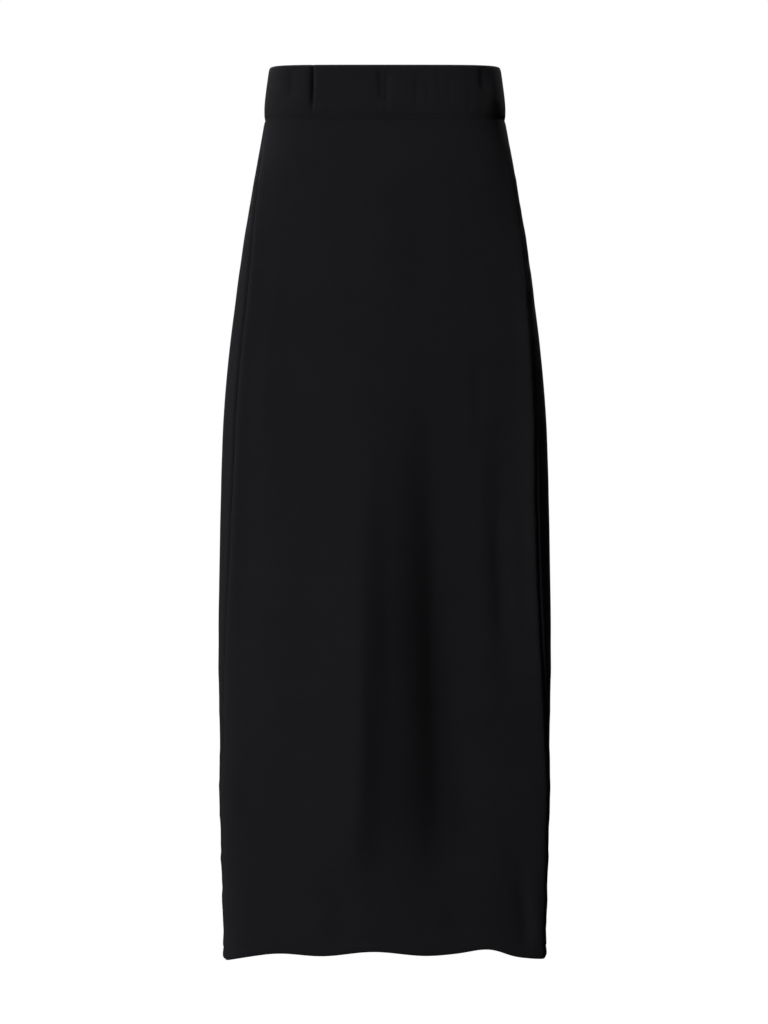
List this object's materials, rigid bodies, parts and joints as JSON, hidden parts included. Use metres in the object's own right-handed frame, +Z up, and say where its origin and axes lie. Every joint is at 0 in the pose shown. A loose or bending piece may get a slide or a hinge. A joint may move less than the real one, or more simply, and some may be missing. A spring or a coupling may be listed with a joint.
{
  "type": "midi skirt",
  "caption": "Long knit skirt with a smooth elastic waistband, slim flared front and back panels and a narrow rolled hem, filled out and open at waist and hem.",
  "frame": {"origin": "middle of the waist, halfway up the waistband, where the wearer's waist holds the skirt", "axes": "+Z up through the open waist, +X to the right-hand side as seen from the front, -Y to the front"},
  "size_m": [0.3308, 0.209, 0.888],
  "materials": {
    "knit": "matt black fine knit",
    "band_knit": "matt black fine knit, doubled over elastic"
  },
  "bodies": {
    "root": {"waistband": "band_knit", "front_panel": "knit", "back_panel": "knit"}
  },
  "joints": []
}
